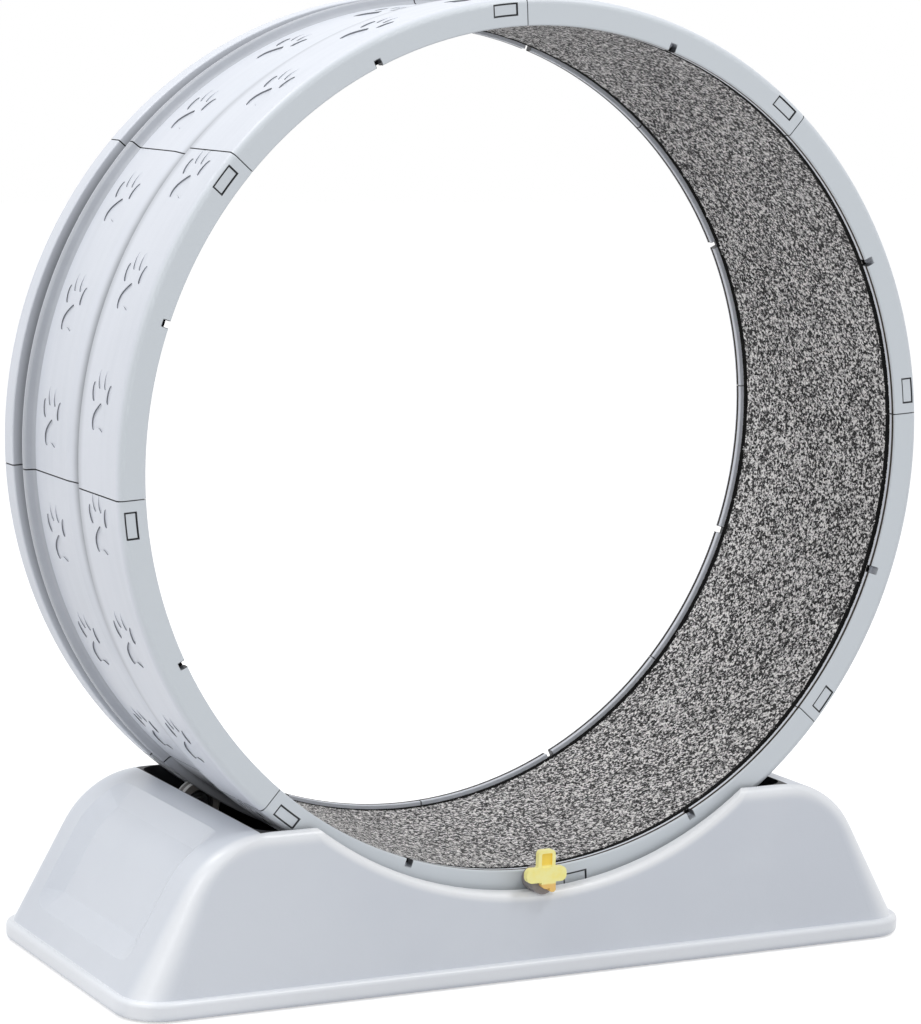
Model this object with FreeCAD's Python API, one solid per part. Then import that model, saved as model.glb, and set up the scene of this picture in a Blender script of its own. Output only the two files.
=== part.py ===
import FreeCAD, Part
import math
import os
from FreeCAD import Vector

# Cat exercise wheel. Millimetres, +Z up. The origin is on the floor under the middle of the base.
# +Y is the wheel's axis and points away from the front lip. Angles on the wheel go from +X towards +Z.

# ---- wheel ----
wheel_radius = 450.0            # over the far flange
wheel_width = 310.0
wheel_floor_gap = 76.0          # from the floor up to the lowest point of the wheel
segment_count = 8
seam_angle = 93.7               # where the first segment starts, degrees
seam_gap = 1.0                  # between two segments, along the rim
segment_wall = 3.0
near_rim_height = 29.0          # from the wheel's radius in to the edge of a lip
far_rim_height = 32.0
lip_width = 10.0
lip_line_place = 3.2            # from the rim face to the fine line sunk into a lip
lip_line_width = 1.8
lip_line_depth = 1.0
drum_floor_drop = 23.5          # from the wheel's radius in to the surface that the mat lies on
near_band_drop = 1.0
near_band_width = 105.0
near_rim_rounding = 7.0
valley_drop = 13.5
valley_width = 10.0
valley_slope_width = 40.0
far_band_drop = 9.0
ridge_width = 9.0
ridge_foot_width = 3.0
groove_drop = 12.0              # to the track of the far rollers
groove_width = 28.0
far_flange_width = 25.0

# ---- snap joints and notches of the segments ----
window_offset = 24.0            # from a seam to the middle of its window, along the rim
window_length = 26.0
window_height = 12.0
window_gap = 1.0                # around the tab's pad inside the window
pad_recess = 0.8                # the pad lies this far behind the rim face
tab_thickness = 4.0
tab_clearance = 0.4
tab_overrun = 5.0               # the tab runs on past the window
bulkhead_thickness = 4.0
notch_width = 7.0
notch_height = 8.0

# ---- paw prints ----
paw_depth = 1.8
paws_per_band = 3
near_paw_start = 38.0           # from the seam to the first print of the near band, along the rim
far_paw_start = 68.0
pad_width = 34.0
pad_height = 27.0
toe_width = 10.0
toe_height = 19.0
inner_toe_side = 7.5
inner_toe_rise = 30.0
outer_toe_side = 19.0
outer_toe_rise = 17.0

# ---- running mat ----
mat_thickness = 4.8
mat_side_gap = 0.6
mat_bed_gap = 0.2
mat_joint_gap = 1.5
mat_joint_angle = 183.7

# ---- base ----
base_length = 890.0
base_side_margin = 32.5         # from a side of the well out to the edge of the flange
base_height = 170.0
flange_height = 20.0
flange_ledge = 7.0              # the flange stands this far out from the walls
flange_corner_radius = 46.0
flange_edge_rounding = 5.0
end_wall_slope = 29.5           # from the vertical, degrees
side_wall_slope = 6.0
shoulder_radius = 100.0
top_edge_radius = 9.0
foot_corner_radius = 40.0
top_corner_radius = 16.0
base_wall = 4.0
well_end_gap = 16.8             # between a front bracket's foot and an end of the well
wheel_side_gap = 5.0            # between the wheel's faces and the walls of the well
well_floor_height = 40.0
well_corner_radius = 24.0
lip_arc_drop = 58.0             # the arc of the base's lips is this much tighter than the wheel
lip_low_height = 87.0
inner_lip_rounding = 4.5
outer_lip_rounding = 6.5
rounding_overshoot = 0.12       # so that a rounding crosses the surfaces at an angle
scoop_depth = 11.0
scoop_width = 250.0
scoop_side_run = 26.0           # over which the scoop's sides rise to the full surface
scoop_low_height = 42.0
scoop_top_run = 31.2            # from where the shoulder leaves the level top to the scoop's edge
scoop_overshoot = 1.0           # how far a scoop's outline runs out through the surface

# ---- feet ----
foot_length = 60.0
foot_width = 22.0
foot_thickness = 3.0
foot_pocket_depth = 1.6
foot_rows = 3
foot_end_inset = 95.0
foot_side_inset = 34.0
foot_pocket_gap = 0.2

# ---- rollers ----
roller_angle = 32.7             # from straight down, seen from the wheel's centre, degrees
roller_radius = 23.0
roller_width = 16.0
running_gap = 0.3
tyre_inner_radius = 14.5
tyre_shoulder = 2.0
tyre_groove_depth = 0.7
tyre_groove_width = 7.0
hub_recess_radius = 13.0
hub_recess_depth = 4.5
hub_web_hole_radius = 6.5
bearing_radius = 11.0
bearing_width = 7.0
bearing_shield_recess = 0.5
fit_gap = 0.05                  # radial, round shafts, bearings and tyres

# ---- roller brackets, axles and their fasteners ----
axle_radius = 4.0
axle_head_radius = 6.5
axle_head_height = 4.4
axle_socket_radius = 3.0
axle_tail = 1.5                 # the bolt's end stands out of its nut
bracket_side_gap = 2.0          # between a roller and its bracket
bracket_thickness = 5.0
bracket_eye_radius = 9.0
bracket_foot_length = 56.0
bracket_foot_reach = 22.0
bracket_foot_thickness = 4.0
bracket_rib_thickness = 4.0
bracket_rib_height = 50.0
bracket_screw_spacing = 34.0
spacer_radius = 5.8
nut_flats = 13.0
nut_height = 5.0
screw_radius = 2.0
screw_head_radius = 4.2
screw_head_height = 2.4
screw_depth = 3.0

# ---- rim lock ----
lock_rise = 11.0                # from the lip's low point up to the lock's axis
lock_boss_radius = 12.5
lock_boss_stand = 5.7           # in front of the base's wall
lock_boss_gap = 0.2
lock_stem_radius = 4.5
lock_stem_length = 11.0
lever_thickness = 6.5
lever_bar_length = 45.0
lever_bar_height = 15.0
lever_bar_rise = 9.0            # from the axis up to the middle of the bar
lever_tongue_width = 19.0
lever_tongue_top = 34.4         # from the axis up to the tongue's tip
lever_panel_depth = 1.5
lever_panel_border = 3.5
lever_hub_radius = 5.5
lever_leg_width = 7.0
lever_leg_side = 7.0
lever_leg_drop = 9.0            # from the axis down to the leg's end
brake_pin_radius = 4.0
brake_pin_travel = 4.4
brake_pad_thickness = 1.5

# ---- places that follow from the sizes above ----
wheel_centre_height = wheel_floor_gap + wheel_radius
near_lip_radius = wheel_radius - near_rim_height
far_lip_radius = wheel_radius - far_rim_height
drum_floor_radius = wheel_radius - drum_floor_drop
near_band_radius = wheel_radius - near_band_drop
valley_radius = wheel_radius - valley_drop
far_band_radius = wheel_radius - far_band_drop
groove_radius = wheel_radius - groove_drop
near_face = -wheel_width / 2
far_face = wheel_width / 2
segment_angle = 360.0 / segment_count
groove_far_edge = far_face - far_flange_width
groove_near_edge = groove_far_edge - groove_width
ridge_near_edge = groove_near_edge - ridge_width
far_band_far_edge = ridge_near_edge - ridge_foot_width
near_band_edge = near_face + near_band_width
far_band_near_edge = near_band_edge + valley_width + valley_slope_width
mat_outer_radius = drum_floor_radius - mat_bed_gap
mat_inner_radius = mat_outer_radius - mat_thickness
roller_y = groove_far_edge - groove_width / 2
well_half_width = far_face + wheel_side_gap
front_roller_x = (near_band_radius + running_gap + roller_radius) * math.sin(math.radians(roller_angle))
well_half_length = front_roller_x + bracket_foot_length / 2 + well_end_gap
base_depth = 2 * (well_half_width + base_side_margin)
lip_arc_radius = wheel_radius - lip_arc_drop
lip_arc_height = lip_low_height + lip_arc_radius
lock_height = lip_low_height + lock_rise
base_underside = foot_thickness - foot_pocket_depth


def degrees_along(length, radius):
    """Angle that an arc of this length covers."""
    return math.degrees(length / radius)


def rounded_wire(corners, place):
    """Closed outline through corners (a, b, rounding radius), placed in space by place(a, b)."""
    starts = []
    ends = []
    middles = []
    count = len(corners)
    for index, (a, b, radius) in enumerate(corners):
        before = corners[index - 1]
        after = corners[(index + 1) % count]
        corner = Vector(a, b, 0)
        towards_before = (Vector(before[0], before[1], 0) - corner).normalize()
        towards_after = (Vector(after[0], after[1], 0) - corner).normalize()
        half = towards_before.getAngle(towards_after) / 2
        inward = (towards_before + towards_after)
        if radius <= 0 or inward.Length < 1e-9:
            starts.append(corner)
            ends.append(corner)
            middles.append(None)
            continue
        inward.normalize()
        reach = radius / math.tan(half)
        starts.append(corner + towards_before * reach)
        ends.append(corner + towards_after * reach)
        middles.append(corner + inward * (radius / math.sin(half) - radius))
    edges = []
    for index in range(count):
        if middles[index]:
            arc = (starts[index], middles[index], ends[index])
            edges.append(Part.Arc(*[place(p.x, p.y) for p in arc]).toShape())
        line_start = place(ends[index].x, ends[index].y)
        following = starts[(index + 1) % count]
        line_end = place(following.x, following.y)
        if line_start.distanceToPoint(line_end) > 1e-6:
            edges.append(Part.LineSegment(line_start, line_end).toShape())
    return Part.Wire(edges)


def ring_sector(corners, angle):
    """Solid swept about the wheel's axis from angle 0 by an outline of corners (y, radius, rounding)."""
    face = Part.Face(rounded_wire(corners, lambda y, r: Vector(r, y, 0)))
    return face.revolve(Vector(0, 0, 0), Vector(0, -1, 0), angle)


def rectangle_corners(y_low, y_high, r_low, r_high, rounding=0.0):
    """Corners of a rectangle in the wheel's section."""
    corners = [(y_low, r_low), (y_high, r_low), (y_high, r_high), (y_low, r_high)]
    return [(y, r, rounding) for y, r in corners]


def turned(shape, angle):
    """Copy of the shape, turned about the wheel's axis through the origin."""
    copy = shape.copy()
    copy.rotate(Vector(0, 0, 0), Vector(0, -1, 0), angle)
    return copy


def cylinder_y(radius, y_low, y_high, x=0.0, z=0.0):
    """Cylinder along Y between two places."""
    return Part.makeCylinder(radius, y_high - y_low, Vector(x, y_low, z), Vector(0, 1, 0))


def prism_y(corners, y_low, y_high):
    """Prism along Y with an outline of corners (x, z, rounding)."""
    face = Part.Face(rounded_wire(corners, lambda x, z: Vector(x, y_low, z)))
    return face.extrude(Vector(0, y_high - y_low, 0))


def box(x_low, x_high, y_low, y_high, z_low, z_high):
    """Box between two corners."""
    return Part.makeBox(x_high - x_low, y_high - y_low, z_high - z_low, Vector(x_low, y_low, z_low))


# ---- wheel ----
def lip_line(face, inward, radius):
    """Corners of the fine line sunk into a lip, from its far side to its near side."""
    near = face + inward * lip_line_place
    far = near + inward * lip_line_width
    bottom = radius + lip_line_depth
    return [(far, radius, 0), (far, bottom, 0), (near, bottom, 0), (near, radius, 0)]


def segment_section():
    """Outline of a segment: rim face, bands and valley, ridge, roller groove, flange, lips, drum floor."""
    return [
        (near_face, near_lip_radius, 1.5),
        (near_face, near_band_radius, near_rim_rounding),
        (near_band_edge, near_band_radius, 4.0),
        (near_band_edge + valley_width * 0.4, valley_radius, 4.0),
        (near_band_edge + valley_width, valley_radius, 4.0),
        (far_band_near_edge, far_band_radius, 20.0),
        (far_band_far_edge, far_band_radius, 5.0),
        (ridge_near_edge, wheel_radius, 2.5),
        (groove_near_edge, wheel_radius, 2.0),
        (groove_near_edge + 1.0, groove_radius, 1.5),
        (groove_far_edge - 1.0, groove_radius, 1.5),
        (groove_far_edge, wheel_radius, 2.0),
        (far_face, wheel_radius, 4.0),
        (far_face, far_lip_radius, 1.5),
    ] + lip_line(far_face, -1, far_lip_radius)[::-1] + [
        (far_face - lip_width, far_lip_radius, 1.0),
        (far_face - lip_width, drum_floor_radius, 0.5),
        (near_face + lip_width, drum_floor_radius, 0.5),
        (near_face + lip_width, near_lip_radius, 1.0),
    ] + lip_line(near_face, 1, near_lip_radius)


def segment_hollows():
    """The three spaces between a segment's outer skin and its drum floor, as (y, y, radius, radius)."""
    floor_top = drum_floor_radius + segment_wall
    return [
        (near_face + segment_wall, near_band_edge - segment_wall, floor_top, near_band_radius - segment_wall),
        (far_band_near_edge, far_band_far_edge - segment_wall, floor_top, far_band_radius - segment_wall),
        (groove_far_edge + segment_wall, far_face - segment_wall, floor_top, wheel_radius - segment_wall),
    ]


def snap_tabs(side):
    """Tab past a segment's end with the pad that fills its neighbour's window. side is -1 near, 1 far."""
    near_hollow, _, far_hollow = segment_hollows()
    hollow = near_hollow if side < 0 else far_hollow
    face = near_face if side < 0 else far_face
    outside = face - side * (segment_wall + tab_clearance)
    inside = outside - side * tab_thickness
    low = hollow[2] + tab_clearance
    high = hollow[3] - tab_clearance
    middle = (low + high) / 2
    tab_length = window_offset + window_length / 2 + tab_overrun
    start = segment_angle - degrees_along(bulkhead_thickness, middle)
    sweep = degrees_along(bulkhead_thickness + tab_length, middle)
    tab = ring_sector(rectangle_corners(min(outside, inside), max(outside, inside), low, high), sweep)
    pad_face = face - side * pad_recess
    half_height = window_height / 2 - window_gap
    pad_low = window_middle(side) - half_height
    pad_high = window_middle(side) + half_height
    pad = ring_sector(
        rectangle_corners(min(pad_face, inside), max(pad_face, inside), pad_low, pad_high),
        degrees_along(window_length - 2 * window_gap, middle),
    )
    pad_start = segment_angle + degrees_along(window_offset - window_length / 2 + window_gap, middle)
    return turned(tab, start).fuse(turned(pad, pad_start))


def window_middle(side):
    """Radius of the middle of a window, halfway up its hollow."""
    near_hollow, _, far_hollow = segment_hollows()
    hollow = near_hollow if side < 0 else far_hollow
    return (hollow[2] + hollow[3]) / 2


def window_cutter(side):
    """Hole through a rim face for the neighbour's pad."""
    face = near_face if side < 0 else far_face
    through = face - side * (segment_wall + tab_clearance / 2)
    middle = window_middle(side)
    corners = rectangle_corners(
        min(face + side, through), max(face + side, through),
        middle - window_height / 2, middle + window_height / 2,
    )
    hole = ring_sector(corners, degrees_along(window_length, middle))
    return turned(hole, degrees_along(window_offset - window_length / 2, middle))


def lip_notch(side):
    """Notch across an inner lip in the middle of a segment."""
    face = near_face if side < 0 else far_face
    low = near_lip_radius if side < 0 else far_lip_radius
    inner = face - side * (lip_width + 1)
    corners = rectangle_corners(min(face + side, inner), max(face + side, inner), low - 2, low + notch_height)
    notch = ring_sector(corners, degrees_along(notch_width, low))
    return turned(notch, segment_angle / 2 - degrees_along(notch_width / 2, low))


def paw_outline_tools(band_radius):
    """Prisms along X of one paw print: four toes and a pad, toes towards falling angles."""
    depth = min(paw_depth, segment_wall * 0.6)
    base_x = band_radius - depth
    tools = []
    toes = [
        (-outer_toe_side, outer_toe_rise),
        (-inner_toe_side, inner_toe_rise),
        (inner_toe_side, inner_toe_rise),
        (outer_toe_side, outer_toe_rise),
    ]
    for side, rise in toes:
        ellipse = Part.Ellipse(Vector(0, 0, 0), toe_height / 2, toe_width / 2)
        toe = Part.Face(Part.Wire([ellipse.toShape()]))
        toe.rotate(Vector(0, 0, 0), Vector(0, 0, 1), 180.0 + side * 0.7)
        toe.rotate(Vector(0, 0, 0), Vector(0, 1, 0), 90)
        toe.translate(Vector(base_x, side, -rise))
        tools.append(toe.extrude(Vector(depth + 5, 0, 0)))
    half_width = pad_width / 2
    pad_points = [
        (0, -pad_height * 0.52),
        (half_width * 0.48, -pad_height * 0.32),
        (half_width * 0.96, pad_height * 0.16),
        (half_width * 0.74, pad_height * 0.45),
        (0, pad_height * 0.34),
        (-half_width * 0.74, pad_height * 0.45),
        (-half_width * 0.96, pad_height * 0.16),
        (-half_width * 0.48, -pad_height * 0.32),
    ]
    curve = Part.BSplineCurve()
    curve.interpolate([Vector(base_x, y, z + pad_height * 0.25) for y, z in pad_points], PeriodicFlag=True)
    pad = Part.Face(Part.Wire([curve.toShape()]))
    tools.append(pad.extrude(Vector(depth + 5, 0, 0)))
    return tools


def paw_cutters():
    """All paw prints of one segment."""
    bands = [
        (near_band_radius, (near_face + near_band_edge) / 2 + near_rim_rounding / 2, near_paw_start),
        (far_band_radius, (far_band_near_edge + far_band_far_edge) / 2, far_paw_start),
    ]
    cutters = []
    for radius, y, start in bands:
        print_tools = paw_outline_tools(radius)
        for index in range(paws_per_band):
            angle = degrees_along(start, radius) + index * segment_angle / paws_per_band
            for tool in print_tools:
                moved = tool.copy()
                moved.translate(Vector(0, y, 0))
                cutters.append(turned(moved, angle))
    return cutters


def segment():
    """One drum segment that starts at angle 0, about the wheel's axis."""
    gap = degrees_along(seam_gap, wheel_radius)
    body = turned(ring_sector(segment_section(), segment_angle - gap), gap / 2)
    bulkhead = degrees_along(bulkhead_thickness, wheel_radius)
    hollows = []
    for y_low, y_high, r_low, r_high in segment_hollows():
        rounding = min(1.0, (r_high - r_low) / 4)
        corners = rectangle_corners(y_low, y_high, r_low, r_high, rounding)
        hollows.append(ring_sector(corners, segment_angle - bulkhead))
    body = body.cut(hollows)
    body = body.cut([window_cutter(-1), window_cutter(1), lip_notch(-1), lip_notch(1)])
    body = body.fuse([snap_tabs(-1), snap_tabs(1)])
    return body.cut(paw_cutters())


def running_mat():
    """Carpet strip round the inside of the drum, with a butt joint."""
    corners = rectangle_corners(
        near_face + lip_width + mat_side_gap, far_face - lip_width - mat_side_gap,
        mat_inner_radius, mat_outer_radius, 0.8,
    )
    gap = degrees_along(mat_joint_gap, mat_inner_radius)
    return turned(ring_sector(corners, 360.0 - gap), mat_joint_angle + gap / 2)


# ---- base ----
def wall_reach(height, foot, slope_angle, radius, inset):
    """How far a wall reaches from the middle at a height: a slope, then an arc into the level top."""
    slope = math.radians(slope_angle)
    centre_height = base_height - radius
    arc_start = centre_height + radius * math.sin(slope)
    centre_reach = foot - (arc_start - flange_height) * math.tan(slope) - radius * math.cos(slope)
    inner_radius = radius - inset
    rise = height - centre_height
    if rise <= inner_radius * math.sin(slope):
        return foot - (height - flange_height) * math.tan(slope) - inset / math.cos(slope)
    return centre_reach + math.sqrt(max(inner_radius ** 2 - rise ** 2, 0.0))


def end_reach(height, inset=0.0):
    """Half the length of the base's body at a height."""
    return wall_reach(height, base_length / 2 - flange_ledge, end_wall_slope, shoulder_radius, inset)


def side_reach(height, inset=0.0):
    """Half the depth of the base's body at a height."""
    return wall_reach(height, base_depth / 2 - flange_ledge, side_wall_slope, top_edge_radius, inset)


def base_section(height, end_inset, side_inset):
    """Level outline of the base's walls at a height."""
    share = (height - flange_height) / (base_height - flange_height)
    rounding = foot_corner_radius + (top_corner_radius - foot_corner_radius) * share - side_inset
    x = end_reach(height, end_inset)
    y = side_reach(height, side_inset)
    corners = [(x, y, rounding), (-x, y, rounding), (-x, -y, rounding), (x, -y, rounding)]
    return rounded_wire(corners, lambda a, b: Vector(a, b, height))


def base_body(low, smooth, end_inset=0.0, side_inset=0.0):
    """Solid between the base's walls: level outlines up the slope, then round the shoulder's arc."""
    slope_steps = 6
    arc_steps = 8
    radius = shoulder_radius - end_inset
    slope = math.radians(end_wall_slope)
    centre_height = base_height - shoulder_radius
    arc_start = centre_height + radius * math.sin(slope)
    heights = [low + (arc_start - low) * step / slope_steps for step in range(slope_steps)]
    for step in range(arc_steps + 1):
        turn = slope + (math.pi / 2 - slope) * step / arc_steps
        heights.append(centre_height + radius * math.sin(turn))
    sections = [base_section(height, end_inset, side_inset) for height in heights]
    return Part.makeLoft(sections, True, not smooth)


def level_prism(half_length, half_depth, rounding, low, high):
    """Upright prism with a rounded rectangle for its outline."""
    corners = [
        (half_length, half_depth, rounding),
        (-half_length, half_depth, rounding),
        (-half_length, -half_depth, rounding),
        (half_length, -half_depth, rounding),
    ]
    wire = rounded_wire(corners, lambda a, b: Vector(a, b, low))
    return Part.Face(wire).extrude(Vector(0, 0, high - low))


def base_flange():
    """Rounded plate that the walls stand on."""
    plate = level_prism(base_length / 2, base_depth / 2, flange_corner_radius, base_underside, flange_height)
    rounding = min(flange_edge_rounding, (flange_height - base_underside) * 0.4)
    edges = [edge for edge in plate.Edges if edge.Vertexes[0].Z == edge.Vertexes[-1].Z]
    return plate.makeFillet(rounding, edges)


def scoop_wire(y, depth):
    """Outline, across the wheel's axis, of what a scoop takes away from the +X end at this depth.

    Its two ends run out through the surface, so it always crosses the surface at an angle.
    """
    slope = math.radians(end_wall_slope)
    inner_radius = shoulder_radius - depth
    centre_height = base_height - shoulder_radius
    slope_top = centre_height + shoulder_radius * math.sin(slope)
    centre_reach = end_reach(slope_top) - shoulder_radius * math.cos(slope)
    outside = base_length / 2 + 20
    above = base_height + 20
    start = centre_reach + scoop_top_run
    surface = centre_height + math.sqrt(shoulder_radius ** 2 - (start - centre_reach) ** 2)
    run = start + scoop_side_run * 0.7
    low_run = scoop_low_height + scoop_side_run * 0.7

    def on_arc(turn):
        x = centre_reach + inner_radius * math.cos(turn)
        return Vector(x, y, centre_height + inner_radius * math.sin(turn))

    run_turn = math.acos((run - centre_reach) / inner_radius)
    points = [
        on_arc(slope),
        Vector(end_reach(low_run, depth), y, low_run),
        Vector(end_reach(scoop_low_height, -scoop_overshoot), y, scoop_low_height),
        Vector(outside, y, scoop_low_height),
        Vector(outside, y, above),
        Vector(start, y, above),
        Vector(start, y, surface + scoop_overshoot),
        on_arc(run_turn),
    ]
    edges = [Part.LineSegment(a, b).toShape() for a, b in zip(points, points[1:])]
    edges.append(Part.Arc(points[-1], on_arc((slope + run_turn) / 2), points[0]).toShape())
    return Part.Wire(edges)


def end_scoops():
    """The shallow hollows in both ends, whose sides rise softly to the full surface."""
    deep = scoop_width / 2 - scoop_side_run
    shallow = scoop_width / 2 + scoop_side_run * scoop_overshoot / scoop_depth
    rise = [(shallow, -scoop_overshoot), (deep, scoop_depth)]
    stations = [(-y, depth) for y, depth in rise] + rise[::-1]
    scoop = Part.makeLoft([scoop_wire(y, depth) for y, depth in stations], True, True)
    mirrored = scoop.mirror(Vector(0, 0, 0), Vector(1, 0, 0))
    return [scoop, mirrored]


def rounding_outline(rounding, point):
    """Outline of what a rounding takes from an edge: its arc and the square corner outside it."""
    diagonal = rounding * math.sqrt(0.5)
    outside = rounding + 3
    arc = Part.Arc(point(rounding, 0), point(diagonal, diagonal), point(0, rounding)).toShape()
    places = [(0, rounding), (0, outside), (outside, outside), (outside, 0), (rounding, 0)]
    corners = [point(across, along) for across, along in places]
    return Part.Wire([arc] + [Part.LineSegment(a, b).toShape() for a, b in zip(corners, corners[1:])])


def inner_lip_ring(side):
    """Ring that rounds the edge between a lip's arc and the side of the well. side is -1 front, 1 back."""
    middle_radius = lip_arc_radius + inner_lip_rounding - rounding_overshoot
    middle_y = well_half_width + inner_lip_rounding - rounding_overshoot

    def point(across, along):
        return Vector(middle_radius - across, side * (middle_y - along), 0)

    outline = rounding_outline(inner_lip_rounding, point)
    ring = Part.Face(outline).revolve(Vector(0, 0, 0), Vector(0, 1, 0), 360)
    return moved(ring, z=lip_arc_height)


def outer_lip_outline(side, turn):
    """Outline of what the rounding takes from a lip's outer edge, at this angle round the lip's arc."""

    def height(radius):
        return lip_arc_height - radius * math.cos(turn)

    thickness = side_reach(height(lip_arc_radius)) - well_half_width
    rounding = max(min(outer_lip_rounding, thickness * 0.4), outer_lip_rounding * 0.05)
    wall = side_reach(min(height(lip_arc_radius + rounding), base_height))
    middle_radius = lip_arc_radius + rounding - rounding_overshoot
    middle_y = wall - rounding + rounding_overshoot

    def point(across, along):
        radius = middle_radius - across
        return Vector(radius * math.sin(turn), side * (middle_y + along), height(radius))

    return rounding_outline(rounding, point)


def lip_roundings():
    """What the roundings along both lips take away."""
    steps = 36
    end_turn = math.acos((lip_arc_height - base_height) / lip_arc_radius) + 0.02
    turns = [end_turn * (2 * step / steps - 1) for step in range(steps + 1)]
    roundings = []
    for side in (-1, 1):
        roundings.append(inner_lip_ring(side))
        roundings.append(Part.makeLoft([outer_lip_outline(side, turn) for turn in turns], True, False))
    return roundings


def base_shell():
    """Closed hollow moulding: walls, flange, well and its floor, concave lips, end scoops, fixing holes."""
    body = base_body(flange_height / 2, True).fuse(base_flange())
    well = level_prism(
        well_half_length, well_half_width, well_corner_radius, well_floor_height, base_height + 1
    )
    lips = cylinder_y(lip_arc_radius, -base_depth, base_depth, 0, lip_arc_height)
    boss_seat = cylinder_y(lock_boss_radius + lock_boss_gap, -base_depth, 0, 0, lock_height)
    body = body.cut([well, lips]).cut(lip_roundings()).cut([boss_seat] + end_scoops())

    hollow = base_body(base_underside + base_wall, False, scoop_depth + base_wall, base_wall)
    well_skin = level_prism(
        well_half_length + base_wall,
        well_half_width + base_wall,
        well_corner_radius + base_wall,
        well_floor_height - base_wall,
        base_height,
    )
    lip_skin = cylinder_y(lip_arc_radius + base_wall, -base_depth, base_depth, 0, lip_arc_height)
    boss_skin = cylinder_y(lock_boss_radius + lock_boss_gap + base_wall, -base_depth, 0, 0, lock_height)
    hollow = hollow.cut([well_skin, lip_skin, boss_skin])
    return body.cut([hollow] + foot_pockets() + screw_holes())


# ---- feet ----
def foot_places():
    """Middles of the feet on the base's underside."""
    x_reach = base_length / 2 - foot_end_inset
    y_reach = base_depth / 2 - foot_side_inset
    row_places = [2 * x_reach * row / (foot_rows - 1) - x_reach for row in range(foot_rows)]
    return [(x, side * y_reach) for side in (-1, 1) for x in row_places]


def foot_prism(gap, low, high):
    """One foot, or with a gap the pocket that it lies in, over the origin."""
    return level_prism(foot_length / 2 + gap, foot_width / 2 + gap, foot_width / 4, low, high)


def moved(shape, x=0.0, y=0.0, z=0.0):
    """Copy of the shape, moved."""
    copy = shape.copy()
    copy.translate(Vector(x, y, z))
    return copy


def base_feet():
    """Anti-slip pads under the base."""
    foot = foot_prism(0, 0, foot_thickness)
    return Part.makeCompound([moved(foot, x, y) for x, y in foot_places()])


def foot_pockets():
    """Pockets for the feet in the base's underside."""
    pocket = foot_prism(foot_pocket_gap, -1, foot_thickness)
    return [moved(pocket, x, y) for x, y in foot_places()]


# ---- rollers and what carries them ----
def roller_stations():
    """Name, side and axle place of each roller. Side is -1 at the front and 1 at the back."""
    stations = []
    turn = math.radians(roller_angle)
    for side, row in ((-1, "front"), (1, "back")):
        track = near_band_radius if side < 0 else groove_radius
        distance = track + running_gap + roller_radius
        height = wheel_centre_height - distance * math.cos(turn)
        for direction, column in ((-1, "left"), (1, "right")):
            place = Vector(direction * distance * math.sin(turn), side * roller_y, height)
            stations.append((row + "_" + column, side, place))
    return stations


def at_station(shape, side, place):
    """A shape made round the Y axis, with +Y towards its bracket, put at its roller's place."""
    copy = shape.copy()
    if side < 0:
        copy.rotate(Vector(0, 0, 0), Vector(0, 0, 1), 180)
    copy.translate(place)
    return copy


def ring_y(corners):
    """Solid of revolution about the Y axis, from an outline of corners (y, radius, rounding)."""
    face = Part.Face(rounded_wire(corners, lambda y, r: Vector(r, y, 0)))
    return face.revolve(Vector(0, 0, 0), Vector(0, 1, 0), 360)


def roller_tyre():
    """Tyre with rounded shoulders and a shallow groove between two treads."""
    half = roller_width / 2
    groove = tyre_groove_width / 2
    bottom = roller_radius - tyre_groove_depth
    return ring_y([
        (-half, tyre_inner_radius, 0),
        (-half, roller_radius, tyre_shoulder),
        (-groove, roller_radius, 0.4),
        (-groove, bottom, 0.2),
        (groove, bottom, 0.2),
        (groove, roller_radius, 0.4),
        (half, roller_radius, tyre_shoulder),
        (half, tyre_inner_radius, 0),
    ])


def roller_hub():
    """Hub with an open recess, a seat for the bearing and a web behind it."""
    half = roller_width / 2
    outer = tyre_inner_radius - fit_gap
    seat = bearing_radius + fit_gap
    recess_floor = -half + hub_recess_depth
    return ring_y([
        (-half, hub_recess_radius, 0.3),
        (-half, outer, 0.3),
        (half, outer, 0.3),
        (half, hub_web_hole_radius, 0),
        (recess_floor + bearing_width, hub_web_hole_radius, 0),
        (recess_floor + bearing_width, seat, 0),
        (recess_floor, seat, 0),
        (recess_floor, hub_recess_radius, 0),
    ])


def roller_bearing():
    """Ball bearing as one ring, with sunk shields."""
    start = -roller_width / 2 + hub_recess_depth
    end = start + bearing_width
    bore = axle_radius + fit_gap
    shield_low = bore + (bearing_radius - bore) * 0.28
    shield_high = bore + (bearing_radius - bore) * 0.78
    return ring_y([
        (start, bore, 0),
        (start, shield_low, 0),
        (start + bearing_shield_recess, shield_low, 0),
        (start + bearing_shield_recess, shield_high, 0),
        (start, shield_high, 0),
        (start, bearing_radius, 0.4),
        (end, bearing_radius, 0.4),
        (end, shield_high, 0),
        (end - bearing_shield_recess, shield_high, 0),
        (end - bearing_shield_recess, shield_low, 0),
        (end, shield_low, 0),
        (end, bore, 0),
    ])


def bracket_inner_face():
    """Where the bracket's upright begins, from the middle of its roller."""
    return roller_width / 2 + bracket_side_gap


def hexagon_prism(flats, y_low, y_high):
    """Prism along Y with six sides."""
    across = flats / 2 / math.cos(math.pi / 6)
    turns = [math.pi / 3 * side for side in range(6)]
    corners = [(across * math.cos(turn), across * math.sin(turn), 0) for turn in turns]
    return prism_y(corners, y_low, y_high)


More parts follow.
